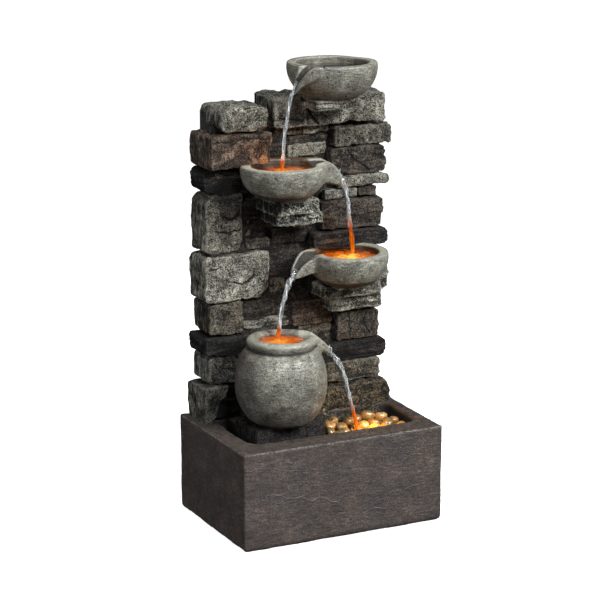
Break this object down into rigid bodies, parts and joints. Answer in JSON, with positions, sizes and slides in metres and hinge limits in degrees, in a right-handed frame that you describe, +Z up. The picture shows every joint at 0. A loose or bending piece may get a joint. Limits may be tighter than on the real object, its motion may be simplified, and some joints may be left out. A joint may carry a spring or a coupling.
{
  "type": "tabletop water fountain",
  "caption": "Tabletop water fountain: spouted bowls and a pot on a stacked-stone wall pour from one to the next into a square basin with pebbles, pumped and lit from inside.",
  "frame": {"origin": "centre of the footprint, on the surface that the feet stand on", "axes": "+Z up, +Y towards the flat back, +X to the right as seen from the front"},
  "size_m": [0.22, 0.155, 0.4615],
  "materials": {
    "basin_resin": "matt cast resin, dark brown grey, worn pale at the edges",
    "wall_stone": "rough cast stone, grey and tan, dry-brushed pale on its high spots",
    "dark_stone": "rough charcoal cast stone",
    "bowl_concrete": "smooth grey green concrete with fine pits, faint gloss",
    "shell_resin": "matt cast resin",
    "pebble": "wet polished river pebbles",
    "black_plastic": "fine moulded texture",
    "red_plastic": "moulded",
    "rotor_ceramic": "ground ceramic",
    "rotor_plastic": "moulded over a magnet",
    "clear_tube": "flexible translucent vinyl",
    "lamp_lens": "amber lens, lit",
    "rubber": "matt"
  },
  "bodies": {
    "fountain": {"basin": "basin_resin", "basin_feet": "rubber", "wall_shell": "shell_resin", "plinth_stones": "wall_stone", "left_stones": "wall_stone", "centre_stones": "wall_stone", "right_stones": "wall_stone", "top_slab": "wall_stone", "capstone": "wall_stone", "ledge_top": "wall_stone", "ledge_upper": "wall_stone", "ledge_lower": "wall_stone", "pot_slab": "dark_stone", "bowl_top": "bowl_concrete", "bowl_upper": "bowl_concrete", "bowl_lower": "bowl_concrete", "pot": "bowl_concrete", "riser_tube": "clear_tube", "outlet_nozzle": "black_plastic", "led_housings": "black_plastic", "led_lenses": "lamp_lens", "led_leads": "rubber", "pump_lead": "rubber", "junction_box": "black_plastic", "cord_gland": "rubber", "pump_body": "black_plastic", "pump_cover": "black_plastic", "rotor_shaft": "rotor_ceramic", "suction_cups": "rubber"},
    "rotor": {"pump_rotor": "rotor_plastic"},
    "strainer": {"pump_front": "black_plastic"},
    "regulator": {"flow_slider": "red_plastic"},
    "door": {"rear_door": "shell_resin"},
    "pebble_bed": {"pebble_tray": "black_plastic", "pebbles": "pebble"}
  },
  "joints": [
    {"name": "rotor_spin", "type": "hinge", "parent": "fountain", "child": "rotor", "pos_m": [0, 0.051, 0.031], "axis": [1, 0, 0], "continuous": true},
    {"name": "strainer_pull", "type": "slide", "parent": "fountain", "child": "strainer", "axis": [1, 0, 0], "range_m": [0, 0.014]},
    {"name": "regulator_slide", "type": "slide", "parent": "strainer", "child": "regulator", "axis": [0, 0, 1], "range_m": [0, 0.008]},
    {"name": "door_pull", "type": "slide", "parent": "fountain", "child": "door", "axis": [0, 1, 0], "range_m": [0, 0.06]},
    {"name": "tray_lift", "type": "slide", "parent": "fountain", "child": "pebble_bed", "axis": [0, 0, 1], "range_m": [0, 0.05]}
  ]
}
